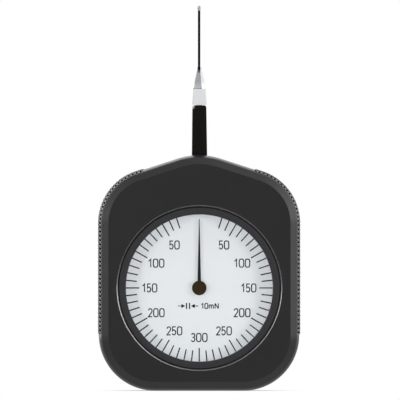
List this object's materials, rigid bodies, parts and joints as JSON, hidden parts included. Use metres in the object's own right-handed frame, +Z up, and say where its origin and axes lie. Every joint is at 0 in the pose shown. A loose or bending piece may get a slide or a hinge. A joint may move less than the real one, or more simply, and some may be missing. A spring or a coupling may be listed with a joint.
{
  "type": "dial tension gauge",
  "caption": "Flat hand-held spring gauge with a round dial, a pointer and a thin feeler lever standing out of its peaked top edge.",
  "frame": {"origin": "middle of the flat bottom edge, halfway between the front of the case and the back cover", "axes": "+Z up through the dial and along the lever, -Y out of the dial, +X to the right of the dial as it is read"},
  "size_m": [0.0576, 0.016, 0.1096],
  "materials": {
    "case_shell": "matt black moulding with a fine eggshell grain",
    "bezel": "dark grey, satin",
    "crystal": "clear, polished",
    "dial": "matt white with black graduations",
    "pointer": "matt black",
    "lever": "black oxide, semi-matt",
    "bright_steel": "ground and polished",
    "nickel_steel": "nickel plated",
    "movement_brass": "satin",
    "spring_steel": "blued",
    "jewel": "polished ruby"
  },
  "bodies": {
    "case": {"front_case": "case_shell", "back_cover": "case_shell", "cover_screw_1": "nickel_steel", "cover_screw_2": "nickel_steel", "cover_screw_3": "nickel_steel", "cover_screw_4": "nickel_steel", "bezel_ring": "bezel", "crystal": "crystal", "dial_plate": "dial", "movement_front_plate": "movement_brass", "movement_rear_plate": "movement_brass", "pillar_1": "movement_brass", "pillar_2": "movement_brass", "pillar_3": "movement_brass", "pillar_4": "movement_brass", "bridge_screw_1": "spring_steel", "bridge_screw_2": "spring_steel", "bridge_screw_3": "spring_steel", "bridge_screw_4": "spring_steel", "plate_screw_1": "nickel_steel", "plate_screw_2": "nickel_steel", "plate_screw_3": "nickel_steel", "front_jewel": "jewel", "rear_jewel": "jewel", "front_lever_bush": "nickel_steel", "rear_lever_bush": "nickel_steel", "main_spring": "spring_steel", "main_spring_stud": "movement_brass", "hairspring": "spring_steel", "hairspring_stud": "movement_brass", "stop_pin_left": "nickel_steel", "stop_pin_right": "nickel_steel"},
    "lever": {"lever_bar": "lever", "tip_holder": "bright_steel", "stylus": "lever", "contact_ball": "bright_steel", "lever_shaft": "bright_steel", "sector_gear": "movement_brass", "sector_screw_left": "nickel_steel", "sector_screw_right": "nickel_steel", "main_spring_collet": "movement_brass"},
    "pointer": {"pointer_needle": "pointer", "pointer_hub": "pointer", "pointer_arbor": "bright_steel", "centre_pinion": "nickel_steel", "hairspring_collet": "movement_brass"}
  },
  "joints": [
    {"name": "lever_swing", "type": "hinge", "parent": "case", "child": "lever", "pos_m": [0, 0, 0.05727], "axis": [0, 1, 0], "range_deg": [-10, 10], "stiffness_Nm_per_rad": 0.089, "deforming": ["main_spring"]},
    {"name": "pointer_turn", "type": "hinge", "parent": "case", "child": "pointer", "pos_m": [0, 0, 0.02925], "axis": [0, 1, 0], "range_deg": [-180, 180], "deforming": ["hairspring"]}
  ],
  "couplings": [
    {"joint": "pointer_turn", "follows": "lever_swing", "ratio": -18}
  ]
}
